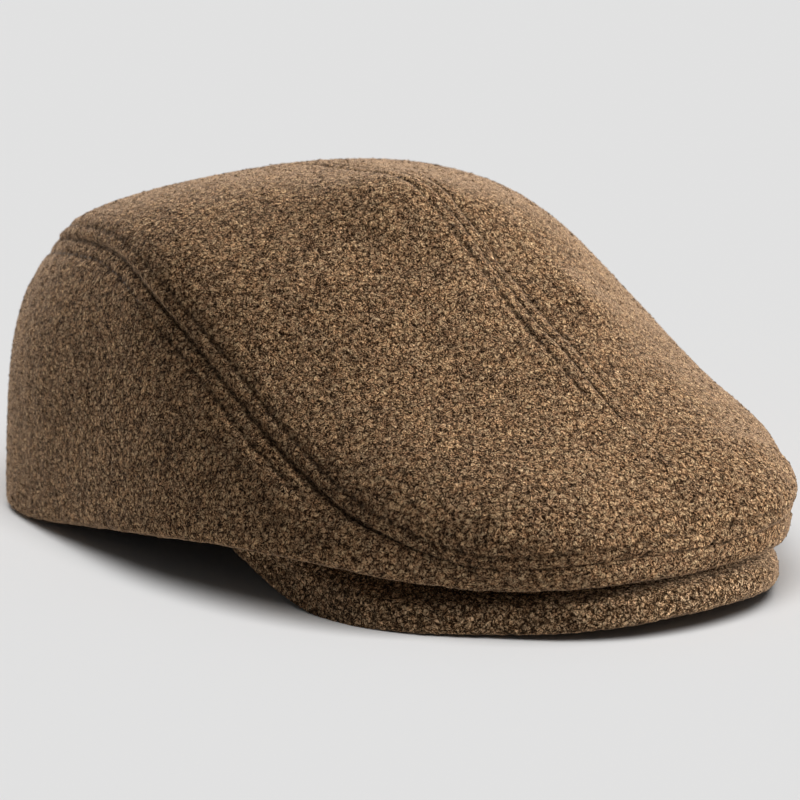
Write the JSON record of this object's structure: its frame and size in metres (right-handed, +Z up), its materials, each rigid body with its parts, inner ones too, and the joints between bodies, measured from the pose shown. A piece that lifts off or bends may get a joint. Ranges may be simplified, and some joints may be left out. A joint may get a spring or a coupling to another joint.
{
  "type": "golf cap",
  "caption": "Low soft wool cap whose crown of top and side panels leans forward over a short padded peak, with an open hollow for the head.",
  "frame": {"origin": "on the surface that the cap rests on, under the middle of its length and width", "axes": "+Z up; -Y forwards, the way the peak points; +X to the wearer's left"},
  "size_m": [0.1848, 0.2618, 0.106],
  "materials": {
    "crown_cloth": "brown looped wool with a short fuzz",
    "peak_cloth": "brown looped wool over a padded board"
  },
  "bodies": {
    "root": {"top_panel_left": "crown_cloth", "top_panel_right": "crown_cloth", "side_panel_left": "crown_cloth", "side_panel_right": "crown_cloth", "peak": "peak_cloth"}
  },
  "joints": []
}
